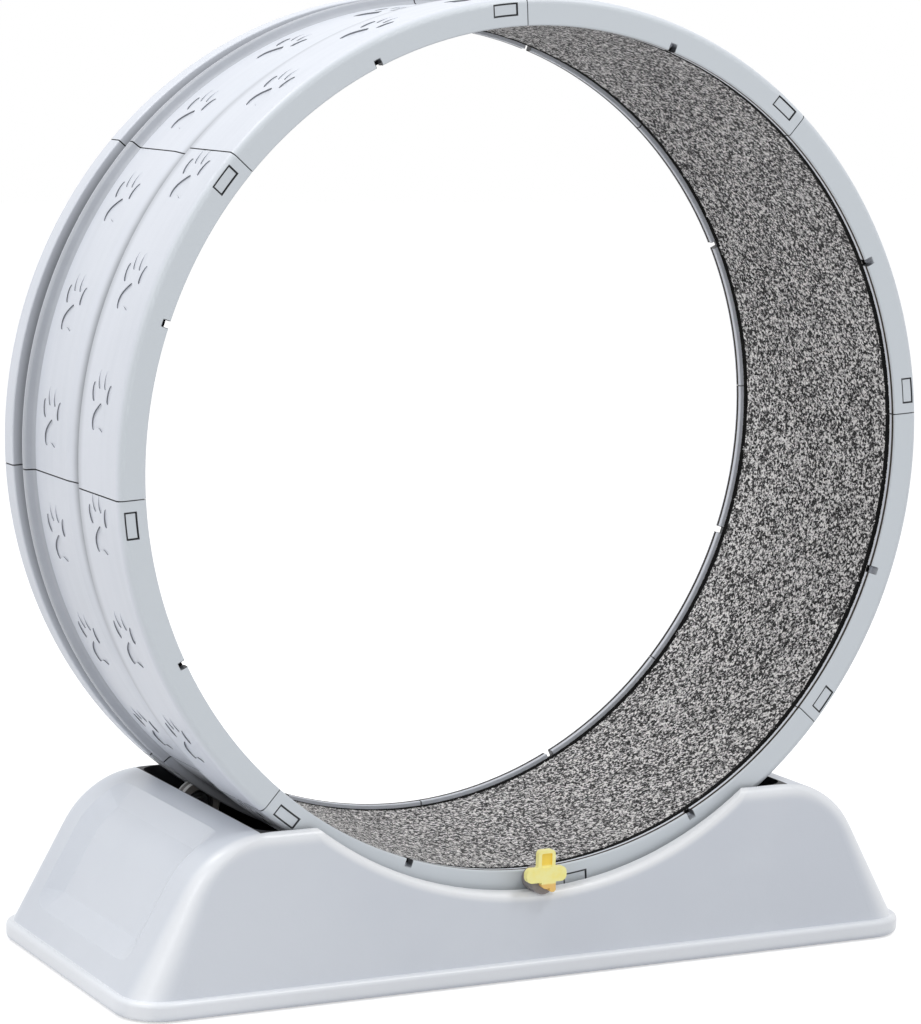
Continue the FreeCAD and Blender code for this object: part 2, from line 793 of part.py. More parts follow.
def roller_axle():
    """Shoulder bolt: round head with a six-sided socket, and a shaft to just past its nut."""
    bearing_face = -roller_width / 2 + hub_recess_depth
    head_end = bearing_face - fit_gap * 2
    head_start = head_end - axle_head_height
    tail = bracket_inner_face() + bracket_thickness + nut_height + axle_tail
    head = ring_y([
        (head_start, 0, 0),
        (head_start, axle_head_radius, 0.6),
        (head_end, axle_head_radius, 0),
        (head_end, axle_radius, 0),
        (tail, axle_radius, 0.5),
        (tail, 0, 0),
    ])
    socket_flats = axle_socket_radius * 2 * math.cos(math.pi / 6)
    return head.cut(hexagon_prism(socket_flats, head_start - 1, head_start + 2.2))


def roller_spacer():
    """Sleeve on the axle between the bearing and the bracket."""
    start = -roller_width / 2 + hub_recess_depth + bearing_width + fit_gap * 2
    bore = axle_radius + fit_gap
    corners = [(start, bore, 0), (start, spacer_radius, 0), (bracket_inner_face(), spacer_radius, 0)]
    return ring_y(corners + [(bracket_inner_face(), bore, 0)])


def axle_nut():
    """Six-sided nut on the bracket's outer face."""
    start = bracket_inner_face() + bracket_thickness
    nut = hexagon_prism(nut_flats, start, start + nut_height)
    return nut.cut(cylinder_y(axle_radius + fit_gap, start - 1, start + nut_height + 1))


def roller_bracket(axle_height):
    """Upright with an eye for the axle, a foot on the well's floor and a rib. The axle is at the origin."""
    floor = well_floor_height - axle_height
    inner = bracket_inner_face()
    outer = inner + bracket_thickness
    half_foot = bracket_foot_length / 2
    foot_top = floor + bracket_foot_thickness
    upright = prism_y([
        (-half_foot, floor, 0),
        (half_foot, floor, 0),
        (half_foot, foot_top, 0),
        (bracket_eye_radius, 0, 0),
        (-bracket_eye_radius, 0, 0),
        (-half_foot, foot_top, 0),
    ], inner, outer)
    eye = cylinder_y(bracket_eye_radius, inner, outer)
    foot = box(-half_foot, half_foot, inner, outer + bracket_foot_reach, floor, foot_top)
    rib_wire = Part.makePolygon([
        Vector(-bracket_rib_thickness / 2, outer, foot_top),
        Vector(-bracket_rib_thickness / 2, outer + bracket_foot_reach * 0.9, foot_top),
        Vector(-bracket_rib_thickness / 2, outer, foot_top + bracket_rib_height),
        Vector(-bracket_rib_thickness / 2, outer, foot_top),
    ])
    rib = Part.Face(rib_wire).extrude(Vector(bracket_rib_thickness, 0, 0))
    bracket = upright.fuse([eye, foot, rib])
    holes = [cylinder_y(axle_radius + fit_gap, inner - 1, outer + 1)]
    for x, y in bracket_screw_places():
        holes.append(Part.makeCylinder(screw_radius + fit_gap, 20, Vector(x, y, floor - 5)))
    return bracket.cut(holes).removeSplitter()


def bracket_screw_places():
    """Middles of a bracket's two screws, from the axle."""
    y = bracket_inner_face() + bracket_thickness + bracket_foot_reach / 2
    return [(-bracket_screw_spacing / 2, y), (bracket_screw_spacing / 2, y)]


def bracket_screws(axle_height):
    """Pan-head screws that hold a bracket down."""
    foot_top = well_floor_height - axle_height + bracket_foot_thickness
    screws = []
    for x, y in bracket_screw_places():
        shank_length = bracket_foot_thickness + screw_depth
        shank = Part.makeCylinder(screw_radius, shank_length, Vector(x, y, foot_top - shank_length))
        head = Part.makeCylinder(screw_head_radius, screw_head_height, Vector(x, y, foot_top))
        head = head.makeFillet(screw_head_height * 0.4, [head.Edges[0]])
        reach = screw_head_radius * 0.6
        slot = box(x - reach, x + reach, y - 0.5, y + 0.5, foot_top + 1.2, foot_top + 5)
        screws.append(shank.fuse(head).cut(slot))
    return screws


def screw_holes():
    """Blind holes in the well's floor for the bracket screws."""
    holes = []
    for _, side, place in roller_stations():
        floor = well_floor_height - place.z
        for x, y in bracket_screw_places():
            bottom = Vector(x, y, floor - screw_depth)
            hole = Part.makeCylinder(screw_radius + fit_gap, screw_depth + 5, bottom)
            holes.append(at_station(hole, side, place))
    return holes


# ---- rim lock ----
def boss_front():
    """Where the boss ends, a little in front of the base's wall."""
    return -side_reach(lock_height) - lock_boss_stand


def lock_boss():
    """Round bush in the front lip, bored for the lever's stem and for the brake pin."""
    back = -well_half_width
    front = boss_front()
    stem_room = lock_stem_length + running_gap
    boss = cylinder_y(lock_boss_radius, front, back, 0, lock_height)
    stem_bore = cylinder_y(lock_stem_radius + fit_gap, front - 1, front + stem_room, 0, lock_height)
    pin_bore = cylinder_y(brake_pin_radius + fit_gap, front, back + 1, 0, lock_height)
    return boss.cut([stem_bore, pin_bore])


def lever_back_face():
    """Where the lever's plate ends, just in front of the boss."""
    return boss_front() - running_gap


def lock_lever():
    """Lever: a bar, a tongue with a sunk panel, a short leg, and the stem that turns in the boss."""
    back = lever_back_face()
    front = back - lever_thickness
    half_bar = lever_bar_length / 2
    half_tongue = lever_tongue_width / 2
    bar_low = lock_height + lever_bar_rise - lever_bar_height / 2
    bar_high = bar_low + lever_bar_height
    tip = lock_height + lever_tongue_top
    leg_end = lock_height - lever_leg_drop
    leg_low = lever_leg_side - lever_leg_width / 2
    leg_high = lever_leg_side + lever_leg_width / 2
    end_rounding = lever_bar_height * 0.4
    plate = prism_y([
        (-half_bar, bar_low, end_rounding),
        (leg_low, bar_low, 0.8),
        (leg_low, leg_end, lever_leg_width * 0.4),
        (leg_high, leg_end, lever_leg_width * 0.4),
        (leg_high, bar_low, 0.8),
        (half_bar, bar_low, end_rounding),
        (half_bar, bar_high, end_rounding),
        (half_tongue, bar_high, 2.0),
        (half_tongue, tip, lever_tongue_width * 0.25),
        (-half_tongue, tip, lever_tongue_width * 0.25),
        (-half_tongue, bar_high, 2.0),
        (-half_bar, bar_high, end_rounding),
    ], front, back)
    hub = cylinder_y(lever_hub_radius, front, back, 0, lock_height)
    stem = cylinder_y(lock_stem_radius, back - 1, back + lock_stem_length, 0, lock_height)
    panel_side = half_tongue - lever_panel_border
    panel = prism_y([
        (-panel_side, bar_high, 1.0),
        (panel_side, bar_high, 1.0),
        (panel_side, tip - lever_panel_border, 1.5),
        (-panel_side, tip - lever_panel_border, 1.5),
    ], front - 1, front + lever_panel_depth)
    return plate.fuse([hub, stem]).cut(panel).removeSplitter()


def brake_tip():
    """Where the brake pad's face lies when the wheel is free."""
    return near_face - running_gap - brake_pin_travel


def brake_pin():
    """Pin behind the lever's stem, which a quarter turn of the lever pushes towards the rim."""
    start = lever_back_face() + lock_stem_length + running_gap
    return cylinder_y(brake_pin_radius, start, brake_tip() - brake_pad_thickness, 0, lock_height)


def brake_pad():
    """Soft tip of the brake pin."""
    return cylinder_y(brake_pin_radius * 0.9, brake_tip() - brake_pad_thickness, brake_tip(), 0, lock_height)


# ---- all pieces ----
def save(name, shape):
    """One file per piece."""
    shape.exportStep("parts/" + name + ".step")


os.makedirs("parts", exist_ok=True)

first_segment = segment()
for number in range(segment_count):
    placed_segment = turned(first_segment, seam_angle - number * segment_angle)
    save("wheel_segment_%d" % (number + 1), moved(placed_segment, z=wheel_centre_height))
save("running_mat", moved(running_mat(), z=wheel_centre_height))

save("base_shell", base_shell())
save("base_feet", base_feet())

tyre = roller_tyre()
hub = roller_hub()
bearing = roller_bearing()
axle = roller_axle()
spacers = []
nuts = []
screws = []
for station, side, place in roller_stations():
    save("roller_tyre_" + station, at_station(tyre, side, place))
    save("roller_hub_" + station, at_station(hub, side, place))
    save("roller_bearing_" + station, at_station(bearing, side, place))
    save("roller_axle_" + station, at_station(axle, side, place))
    save("roller_bracket_" + station, at_station(roller_bracket(place.z), side, place))
    spacers.append(at_station(roller_spacer(), side, place))
    nuts.append(at_station(axle_nut(), side, place))
    for screw in bracket_screws(place.z):
        screws.append(at_station(screw, side, place))
save("roller_spacers", Part.makeCompound(spacers))
save("axle_nuts", Part.makeCompound(nuts))
save("bracket_screws", Part.makeCompound(screws))

save("lock_boss", lock_boss())
save("lock_lever", lock_lever())
save("brake_pin", brake_pin())
save("brake_pad", brake_pad())
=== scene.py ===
import math

import bpy
import numpy as np
from mathutils import Matrix, Vector


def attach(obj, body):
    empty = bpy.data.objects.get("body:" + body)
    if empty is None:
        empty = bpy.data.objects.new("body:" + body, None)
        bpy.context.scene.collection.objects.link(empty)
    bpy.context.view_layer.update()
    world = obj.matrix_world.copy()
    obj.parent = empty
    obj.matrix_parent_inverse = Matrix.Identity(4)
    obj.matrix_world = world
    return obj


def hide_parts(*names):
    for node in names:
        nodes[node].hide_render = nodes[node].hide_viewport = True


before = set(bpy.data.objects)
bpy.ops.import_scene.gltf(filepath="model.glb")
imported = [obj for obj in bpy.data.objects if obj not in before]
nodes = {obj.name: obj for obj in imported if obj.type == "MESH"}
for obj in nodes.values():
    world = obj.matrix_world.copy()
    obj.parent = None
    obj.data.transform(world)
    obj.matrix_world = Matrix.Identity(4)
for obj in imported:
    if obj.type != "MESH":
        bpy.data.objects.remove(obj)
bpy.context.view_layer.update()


class Wire:
    # One socket of a material; its operators add Math nodes
    def __init__(self, finish, socket):
        self.finish = finish
        self.socket = socket

    def math(self, operation, *values):
        return self.finish.add("ShaderNodeMath", {"operation": operation}, dict(enumerate(values)))

    def __add__(self, other):
        return self.math("ADD", self, other)

    __radd__ = __add__

    def __sub__(self, other):
        return self.math("SUBTRACT", self, other)

    def __rsub__(self, other):
        return self.math("SUBTRACT", other, self)

    def __mul__(self, other):
        return self.math("MULTIPLY", self, other)

    __rmul__ = __mul__

    def __truediv__(self, other):
        return self.math("DIVIDE", self, other)

    def __pow__(self, power):
        return self.math("POWER", self, power)

    def __abs__(self):
        return self.math("ABSOLUTE", self)

    def __or__(self, other):
        # The stronger of two masks
        return self.math("MAXIMUM", self, other)

    def rise(self, low, high):
        # 0 up to low, 1 from high on, smooth between them
        ends = {"Value": self, "From Min": low, "From Max": high}
        return self.finish.add("ShaderNodeMapRange", {"interpolation_type": "SMOOTHSTEP"}, ends)

    def fall(self, low, high):
        # 1 up to low, 0 from high on
        return 1 - self.rise(low, high)

    def within(self, low, high, soft=0.0002):
        # 1 between low and high, with a soft step at both
        return self.rise(low - soft, low) * self.fall(high, high + soft)

    def pingPong(self, scale):
        # Distance to the nearest multiple of twice the scale
        return self.math("PINGPONG", self, scale)

    def fraction(self):
        return self.math("FRACT", self)

    def cosine(self):
        return self.math("COSINE", self)

    def turnFrom(self, other):
        # atan2(this, other)
        return self.math("ARCTAN2", self, other)

    def reach(self, other):
        # sqrt(this this + other other)
        return (self * self + other * other) ** 0.5


class Finish:
    # One material or sky; every node of it comes from add()
    def __init__(self, name, world=False):
        self.material = (bpy.data.worlds if world else bpy.data.materials).new(name)
        self.material.use_nodes = True
        self.tree = self.material.node_tree
        self.tree.nodes.clear()
        self.place = None if world else self.add("ShaderNodeTexCoord", {}, {}, "Object")

    def add(self, kind, settings, sockets, output=0):
        # Settings come first, then each socket's value or link
        node = self.tree.nodes.new(kind)
        for name, value in settings.items():
            if name == "stops":
                for _ in value[2:]:
                    node.color_ramp.elements.new(1.0)
                for element, (position, colour) in zip(node.color_ramp.elements, value):
                    element.position = position
                    element.color = (*colour, 1.0)
            else:
                setattr(node, name, value)
        for name, value in sockets.items():
            socket = node.inputs[name]
            if isinstance(value, Wire):
                self.tree.links.new(value.socket, socket)
            else:
                socket.default_value = (*value, 1.0) if socket.type == "RGBA" else value
        return Wire(self, node.outputs[output] if node.outputs else None)

    def outputs(self, wire, *names):
        return [Wire(self, wire.socket.node.outputs[name]) for name in names]

    def stretched(self, scale):
        # The place times a scale for each axis
        return self.add("ShaderNodeMapping", {}, {"Vector": self.place, "Scale": scale})

    def noise(self, scale, detail=2.0, place=None, output=0):
        sockets = {"Vector": place or self.place, "Scale": scale, "Detail": detail}
        return self.add("ShaderNodeTexNoise", {}, sockets, output)

    def cells(self, scale, output="Distance", place=None):
        return self.add("ShaderNodeTexVoronoi", {}, {"Vector": place or self.place, "Scale": scale}, output)

    def mix(self, share, first, second):
        # first where share is 0, second where it is 1
        return self.add("ShaderNodeMix", {"data_type": "RGBA"}, {0: share, 6: first, 7: second}, 2)

    def ramp(self, value, stops):
        return self.add("ShaderNodeValToRGB", {"stops": stops}, {"Fac": value})

    def axes(self, vector):
        return self.outputs(self.add("ShaderNodeSeparateXYZ", {}, {"Vector": vector}), "X", "Y", "Z")

    def joined(self, x, y, z):
        return self.add("ShaderNodeCombineXYZ", {}, {"X": x, "Y": y, "Z": z})

    def bump(self, height, distance=0.001):
        return self.add("ShaderNodeBump", {}, {"Height": height, "Distance": distance})

    def end(self, sockets):
        # The surface shader from its sockets' values and links
        shader = self.add("ShaderNodeBsdfPrincipled", {}, sockets)
        self.add("ShaderNodeOutputMaterial", {}, {"Surface": shader})
        return self.material


def give(material, *names):
    # The material takes every slot of these nodes' objects
    for name in names:
        slots = nodes[name].data.materials
        slots.clear()
        slots.append(material)


axisHeight = 0.526  # of the drum's axis above the floor
frontToBack = (-0.01, 0.01)  # y over which a mask changes from the front's value to the back's

# Widths are along the drum's axis, reaches are from it, and a pair is where a mask starts and ends its rise
drumLook = {
    "tone": (0.69, 0.72, 0.785),
    "shade": (0.64, 0.672, 0.735),
    "rim": (0.63, 0.675, 0.72),
    # the tone of the shade painted in the valley, along the fold, on the groove's walls and at the step
    "paintedShade": (0.115, 0.125, 0.14),
    # the dark of the lines sunk into the lips is painted shade
    "lipLineShadeTone": (0.055, 0.045, 0.036),
    # near black shade painted in the gaps: seams, windows, notches, print walls and the groove's floor
    "gapShadeTone": (0.018, 0.02, 0.024),
    "gapShadeShare": 0.92,
    "toneSteps": (0.35, 0.75),
    "driftShare": 0.6,
    "driftScale": 7.0,
    "patchScale": 26.0,
    "patchShare": 0.28,
    "flow": {"scale": 1.6, "turn": 1.6, "cross": 60.0, "depth": 0.05},
    "grain": {"scale": 2400.0, "depth": 0.02},
    "roughness": {"base": 0.42, "drift": 0.14, "grain": 0.05, "paintedShade": 0.2},
    "seamStart": math.radians(93.7),
    "segments": 8,
    "seam": {"half": (0.00055, 0.00085), "rimShare": 0.35, "rimWidth": (-0.1549, -0.1510)},
    "rimWidth": (-0.1545, -0.1500),
    "bands": [
        {"width": (-0.127, -0.071), "reach": 0.449, "pawStart": 0.038},
        {"width": (0.017, 0.073), "reach": 0.441, "pawStart": 0.068},
    ],
    "paw": {
        "spacing": math.radians(15.0), "top": (0.0002, 0.0003), "floor": (0.0016, 0.0017), "share": 0.85,
    },
    "lipLines": [
        {"width": (-0.1526, -0.1492), "reach": 0.4210},
        {"width": (0.1492, 0.1526), "reach": 0.4180},
    ],
    "lipLineDepth": (0.0014, 0.0016),
    "window": {
        "offset": 0.024, "halfLength": 0.0120, "halfHeight": 0.0050, "nearReach": 0.43775,
        "farReach": 0.43375, "line": (-0.0002, 0.0014), "width": (0.1490, 0.1495),
    },
    "notch": {
        "atReach": 0.425, "half": (0.0038, 0.0042), "width": (0.1440, 0.1449), "reach": (0.4255, 0.4305),
    },
    "valley": {
        "slope": (-0.030, -0.009), "edge": (-0.0505, -0.0495), "reach": (0.4412, 0.4425), "share": 0.85,
    },
    "fold": {"slope": (-0.066, -0.0505), "edge": (-0.0503, -0.0499), "share": 0.30},
    "groove": {
        "width": (0.1015, 0.1305), "floorReach": (0.4386, 0.4396), "floorShare": 0.88,
        "wallReach": (0.4370, 0.4505), "wallShare": 0.62,
    },
    "step": {"width": (0.0870, 0.0990), "soft": 0.0008, "share": 0.46},
}


def seamMask(seam, y, fromSeam):
    # 1 where the arc to the nearest seam is under half the gap, and a share of it on the near rim face
    onRim = seam["rimShare"]
    return fromSeam.fall(*seam["half"]) * (onRim + (1 - onRim) * y.rise(*seam["rimWidth"]))


def printWall(look, band, y, turn, reach):
    # The walls of a band's paw prints: under the band's surface and above the print's floor, which is flat.
    # Depth under the plane that touches the band at a print = band reach - reach * cos(turn from the print)
    paw = look["paw"]
    first = look["seamStart"] + band["pawStart"] / band["reach"]
    fromPrint = (turn - first).pingPong(paw["spacing"] / 2)
    underBand = band["reach"] - reach
    underPlane = band["reach"] - reach * fromPrint.cosine()
    return y.within(*band["width"]) * underBand.rise(*paw["top"]) * underPlane.fall(*paw["floor"])


def sunkLine(look, line, y, reach):
    # The fine line that is sunk into a lip, and a little beside it, where shade is painted dark
    return y.within(*line["width"]) * (reach - line["reach"]).fall(*look["lipLineDepth"])


def windowMask(window, y, fromStart, reach):
    # A line round the snap windows: the larger overshoot past a pane's half length and half height is small
    isFar = y.rise(*frontToBack)
    middle = window["nearReach"] + (window["farReach"] - window["nearReach"]) * isFar
    overLength = abs(fromStart - window["offset"]) - window["halfLength"]
    overHeight = abs(reach - middle) - window["halfHeight"]
    return (overLength | overHeight).within(*window["line"]) * abs(y).rise(*window["width"])


def notchMask(notch, y, fromMiddle, reach):
    # The notch in each lip: near the middle of a segment, far enough out along y and near the axis
    halfTurn = [half / notch["atReach"] for half in notch["half"]]
    return fromMiddle.fall(*halfTurn) * abs(y).rise(*notch["width"]) * reach.fall(*notch["reach"])


def paintedShadeMask(look, y, reach):
    # Painted shade: the strongest of the shade painted in the valley, along the fold, on the groove's walls
    # and at the step
    valley, fold, groove, step = (look[name] for name in ("valley", "fold", "groove", "step"))
    inValley = y.fall(*valley["slope"]) * y.rise(*valley["edge"]) * reach.fall(*valley["reach"])
    atFold = y.rise(*fold["slope"]) * y.fall(*fold["edge"])
    onWall = y.within(*groove["width"]) * reach.fall(*groove["wallReach"])
    atStep = y.within(*step["width"], step["soft"])
    return (valley["share"] * inValley) | (fold["share"] * atFold) | (
        groove["wallShare"] * onWall) | (step["share"] * atStep)


def drumPlastic(look):
    # tone to shade by drift and streaks, then the near rim's tone, painted shade in the valley, along the
    # fold, on the groove's walls and at the step, painted shade in the lip lines, and near black painted
    # shade in the gaps: seams, windows, notches, print walls and the groove's floor; height = grain +
    # streaks, long round the axis
    finish = Finish("drumPlastic")
    x, y, z = finish.axes(finish.place)
    up = z - axisHeight
    turn, reach = up.turnFrom(x), up.reach(x)
    pitch = 2 * math.pi / look["segments"]
    share = (turn - look["seamStart"]) / pitch
    within = share.fraction()
    seams = seamMask(look["seam"], y, share.pingPong(0.5) * pitch * reach)
    windows = windowMask(look["window"], y, within * pitch * reach, reach)
    notches = notchMask(look["notch"], y, abs(within - 0.5) * pitch, reach)
    nearPrints, farPrints = (printWall(look, band, y, turn, reach) for band in look["bands"])
    nearLine, farLine = (sunkLine(look, line, y, reach) for line in look["lipLines"])
    groove, paw, flow, rough = (look[name] for name in ("groove", "paw", "flow", "roughness"))
    grooveFloor = y.within(*groove["width"]) * reach.fall(*groove["floorReach"])
    # Painted shade in the gaps: seams, windows, notches, print walls and the groove's floor
    gapShade = seams | windows | notches | (paw["share"] * (nearPrints | farPrints)) | (
        groove["floorShare"] * grooveFloor)
    patch = finish.noise(look["patchScale"], 3.0)
    paintedShade = paintedShadeMask(look, y, reach) * (1 + look["patchShare"] * (patch - 0.5))
    flowPlace = finish.joined(turn * flow["turn"], y * flow["cross"], reach * flow["cross"])
    streak = finish.noise(flow["scale"], 3.0, flowPlace)
    drift = finish.noise(look["driftScale"], 4.0)
    grain = finish.noise(look["grain"]["scale"], 1.0)
    drifting = look["driftShare"] * drift + (1 - look["driftShare"]) * streak
    colour = finish.mix(drifting.rise(*look["toneSteps"]), look["tone"], look["shade"])
    colour = finish.mix(y.fall(*look["rimWidth"]), colour, look["rim"])
    # Painted shade in the valley, along the fold, on the groove's walls and at the step
    colour = finish.mix(paintedShade, colour, look["paintedShade"])
    # Painted shade in the lines sunk into the lips
    colour = finish.mix(nearLine | farLine, colour, look["lipLineShadeTone"])
    roughness = rough["base"] + rough["drift"] * (drift - 0.5) + rough["grain"] * (grain - 0.5)
    return finish.end({
        "Base Color": finish.mix(look["gapShadeShare"] * gapShade, colour, look["gapShadeTone"]),
        "Roughness": roughness + rough["paintedShade"] * paintedShade,
        "IOR": 1.5,
        "Normal": finish.bump(grain * look["grain"]["depth"] + streak * flow["depth"]),
    })


segmentNames = sorted(name for name in nodes if name.startswith("wheel_segment_"))
give(drumPlastic(drumLook), *segmentNames)
print("drum finished:", len(segmentNames), "segments")

baseLook = {
    "tone": (0.66, 0.695, 0.755),
    "shade": (0.61, 0.645, 0.71),
    # edge: the pale tone of a painted highlight where the moulding bends
    "edge": (0.87, 0.89, 0.92),
    # painted shade, near black, inside the well
    "wellShadeTone": (0.008, 0.009, 0.011),
    "toneSteps": (0.35, 0.7),
    "driftScale": 4.0,
    "peel": {"scale": 260.0, "depth": 0.06},
    "grain": {"scale": 2000.0, "depth": 0.02},
    "roughness": {"base": 0.31, "drift": 0.12, "well": 0.2},
    "well": {"halfLength": (0.3004, 0.3008), "halfWidth": (0.1604, 0.1608), "floor": (0.035, 0.036)},
    "lipArc": {"height": 0.479, "reach": (0.396, 0.403)},
    "shoulder": {"across": 0.2948, "height": 0.070, "radius": 0.100, "start": (0.1185, 0.1195)},
    "endSlope": math.radians(29.5),
    "side": {"foot": 0.1876, "slope": 0.1051},
    "corner": {"foot": 0.0432, "slope": 0.16, "spread": (0.0, 0.75), "share": 0.75},
    "flange": {"bottom": (0.002, 0.010), "top": (0.0203, 0.0208), "share": 0.6},
}


def lipHighlight(arc, x, z):
    # 1 on the rounding of the lips' arcs, where the reach from the arcs' axis is small: the place of a
    # painted highlight
    return (z - arc["height"]).reach(x).fall(*arc["reach"])


def cornerHighlight(look, x, y, z):
    # Nearness to the end's surface times nearness to the side's, each 1 at the surface and 0 a corner's
    # radius inside, where a highlight is painted. The end is a plane that leans in, and above the
    # shoulder's start it is an arc
    shoulder = look["shoulder"]
    across = abs(x) - shoulder["across"]
    up = z - shoulder["height"]
    planeReach = across * math.cos(look["endSlope"]) + up * math.sin(look["endSlope"])
    arcReach = (across | 0.0).reach(up)
    fromEnd = shoulder["radius"] - (planeReach + z.rise(*shoulder["start"]) * (arcReach - planeReach))
    fromSide = look["side"]["foot"] - look["side"]["slope"] * z - abs(y)
    corner = look["corner"]
    radius = corner["foot"] - corner["slope"] * z
    nearEnd, nearSide = ((1 - depth / radius).rise(0.0, 1.0) for depth in (fromEnd, fromSide))
    return (nearEnd * nearSide).rise(*corner["spread"])


def basePlastic(look):
    # tone to shade by drift, paler where the moulding bends as a painted highlight, near black inside the
    # well as painted shade; height = peel + grain
    finish = Finish("basePlastic")
    x, y, z = finish.axes(finish.place)
    drift = finish.noise(look["driftScale"], 4.0)
    peel = finish.noise(look["peel"]["scale"], 2.0)
    grain = finish.noise(look["grain"]["scale"], 1.0)
    flange = z.rise(*look["flange"]["bottom"]) * z.fall(*look["flange"]["top"])
    # Painted highlight: paler on the lips' roundings, at the corners and along the flange
    edge = lipHighlight(look["lipArc"], x, z) | (look["corner"]["share"] * cornerHighlight(look, x, y, z)) | (
        look["flange"]["share"] * flange)
    well = look["well"]
    # Painted shade: near black inside the well
    wellShade = abs(x).fall(*well["halfLength"]) * abs(y).fall(*well["halfWidth"]) * z.rise(*well["floor"])
    outside = finish.mix(drift.rise(*look["toneSteps"]), look["tone"], look["shade"])
    outside = finish.mix(edge, outside, look["edge"])
    rough = look["roughness"]
    return finish.end({
        "Base Color": finish.mix(wellShade, outside, look["wellShadeTone"]),
        "Roughness": rough["base"] + rough["drift"] * (drift - 0.5) + rough["well"] * wellShade,
        "IOR": 1.5,
        "Normal": finish.bump(peel * look["peel"]["depth"] + grain * look["grain"]["depth"]),
    })


give(basePlastic(baseLook), "base_shell")
print("base finished")

smallLooks = {
    "hubPlastic": {
        "tone": (0.014, 0.014, 0.015), "shade": (0.022, 0.022, 0.024),
        "roughness": 0.45, "grainScale": 2000.0, "grainDepth": 0.03,
    },
    "bracketPlastic": {
        "tone": (0.03, 0.033, 0.036), "shade": (0.02, 0.023, 0.026),
        "roughness": 0.5, "grainScale": 1800.0, "grainDepth": 0.04,
    },
    "bossPlastic": {
        "tone": (0.27, 0.245, 0.245), "shade": (0.215, 0.195, 0.195),
        "roughness": 0.42, "grainScale": 2000.0, "grainDepth": 0.03,
    },
    "padRubber": {
        "tone": (0.03, 0.03, 0.031), "shade": (0.02, 0.02, 0.021),
        "roughness": 0.75, "grainScale": 1500.0, "grainDepth": 0.06,
    },
    "pinPlastic": {
        "tone": (0.19, 0.17, 0.165), "shade": (0.15, 0.135, 0.13),
        "roughness": 0.45, "grainScale": 2000.0, "grainDepth": 0.03,
    },
}

scuffLook = {
    "driftScale": 90.0,
    "toneSteps": (0.3, 0.75),
    "scale": 420.0,
    "steps": (0.62, 0.78),
    "share": 0.35,
    "lighten": {"factor": 1.35, "lift": 0.01},
    "roughness": {"scuff": 0.15, "grain": 0.08},
}


def mouldedPart(name, look, scuffs):
    # tone to shade by drift, small scuffs of tone * factor + lift; height = grain
    finish = Finish(name)
    drift = finish.noise(scuffs["driftScale"], 3.0)
    grain = finish.noise(look["grainScale"], 2.0)
    scuff = finish.noise(scuffs["scale"], 4.0).rise(*scuffs["steps"])
    colour = finish.mix(drift.rise(*scuffs["toneSteps"]), look["tone"], look["shade"])
    lighten = scuffs["lighten"]
    lighter = tuple(min(1.0, value * lighten["factor"] + lighten["lift"]) for value in look["tone"])
    rough = scuffs["roughness"]
    return finish.end({
        "Base Color": finish.mix(scuffs["share"] * scuff, colour, lighter),
        "Roughness": look["roughness"] + rough["scuff"] * scuff + rough["grain"] * (grain - 0.5),
        "IOR": 1.5,
        "Normal": finish.bump(grain * look["grainDepth"]),
    })


zincLook = {
    "dark": (0.30, 0.31, 0.33),
    "pale": (0.42, 0.43, 0.45),
    "cellScale": 900.0,
    "brushScale": 60.0,
    "brushStretch": (1.0, 60.0, 60.0),
    "brushDepth": 0.02,
    "roughness": {"base": 0.30, "spangle": 0.12, "brush": 0.08},
}


def zincSteel(look):
    # Spangled zinc: each cell has a tone from dark to pale; height = noise drawn out along x
    finish = Finish("zincSteel")
    spangle = finish.axes(finish.cells(look["cellScale"], "Color"))[0]
    brushed = finish.noise(look["brushScale"], 3.0, finish.stretched(look["brushStretch"]))
    rough = look["roughness"]
    return finish.end({
        "Base Color": finish.mix(spangle, look["dark"], look["pale"]),
        "Metallic": 1.0,
        "Roughness": rough["base"] + rough["spangle"] * spangle + rough["brush"] * brushed,
        "Normal": finish.bump(brushed * look["brushDepth"]),
    })


tyreLook = {
    "frontAxis": (0.25516, 0.12855),
    "backAxis": (0.24921, 0.13781),
    "side": (0.26, 0.245, 0.235),
    "sideShade": (0.19, 0.178, 0.17),
    # the near white of the treads is a painted highlight
    "paleTreadHighlight": (0.92, 0.92, 0.93),
    "grooveTone": (0.26, 0.255, 0.25),
    "toneSteps": (0.3, 0.75),
    "treadReach": (0.0215, 0.0221),
    "groove": {"place": 0.116, "half": (0.0033, 0.0037)},
    "wearAndHighlight": {"base": 0.85, "drift": 0.3},
    "driftScale": 120.0,
    "grain": {"scale": 1600.0, "depth": 0.05},
    "roughness": {"base": 0.5, "grain": 0.2, "wornAndHighlight": 0.1},
}


